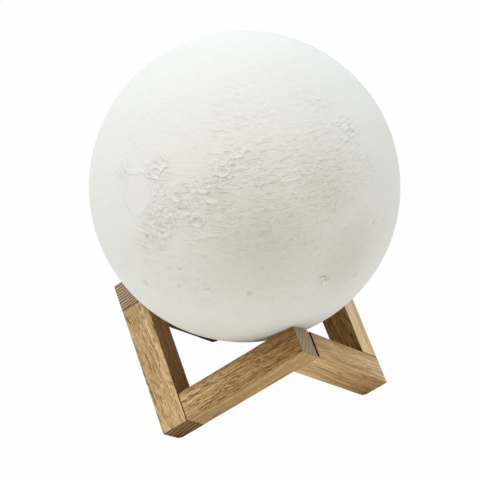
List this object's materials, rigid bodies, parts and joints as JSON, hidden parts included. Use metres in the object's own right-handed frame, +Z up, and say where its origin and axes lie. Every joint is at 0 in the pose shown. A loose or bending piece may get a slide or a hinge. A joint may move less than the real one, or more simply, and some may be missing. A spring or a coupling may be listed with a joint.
{
  "type": "moon lamp",
  "caption": "Table lamp: a hollow white printed moon on a zig-zag stand of square wooden bars, with a rechargeable light engine, push button and charging socket in its base.",
  "frame": {"origin": "on the floor, under the centre of the moon and of the stand", "axes": "+Z up; -Y points to the stand's front peak; +X to the right, where the stand has one of its other two peaks (right rear)"},
  "size_m": [0.15, 0.15, 0.1872],
  "materials": {
    "wood": "satin beech with open pores",
    "dowel_wood": "plain",
    "printed_moon": "matt printed relief with fine layers",
    "base_plastic": "moulded, satin",
    "button_metal": "brushed",
    "socket_metal": "bright",
    "steel": "plain",
    "black_plastic": "moulded",
    "lens": "frosted",
    "circuit_board": "solder resist",
    "cell_wrap": "shrink sleeve",
    "foam": "closed-cell foam",
    "lead_insulation": "plain",
    "white_board": "solder resist",
    "led": "silicone fill",
    "diffuser": "opal"
  },
  "bodies": {
    "stand": {"bar_front_left": "wood", "bar_front_right": "wood", "bar_right": "wood", "bar_back_right": "wood", "bar_back_left": "wood", "bar_left": "wood", "corner_dowels": "dowel_wood"},
    "moon": {"moon_shell": "printed_moon", "neck_ring": "base_plastic", "base_cap": "base_plastic", "tact_switch": "black_plastic", "indicator_lens": "lens", "status_led": "lens", "socket_shell": "socket_metal", "socket_tongue": "black_plastic", "control_board": "circuit_board", "board_chips": "black_plastic", "column_screws": "steel", "lamp_column": "base_plastic", "battery_cell": "cell_wrap", "cell_tabs": "steel", "cell_pad": "foam", "cell_leads": "lead_insulation", "led_board": "white_board", "led_chips": "led", "led_leads": "lead_insulation", "diffuser_dome": "diffuser"},
    "button": {"power_button": "button_metal", "switch_plunger": "black_plastic"}
  },
  "joints": [
    {"name": "moon_lift", "type": "slide", "parent": "stand", "child": "moon", "axis": [0, 0, 1], "range_m": [0, 0.16]},
    {"name": "button_press", "type": "slide", "parent": "moon", "child": "button", "axis": [0, 0, 1], "range_m": [0, 0.0005], "stiffness_N_per_m": 400, "springref_m": -0.0005}
  ]
}
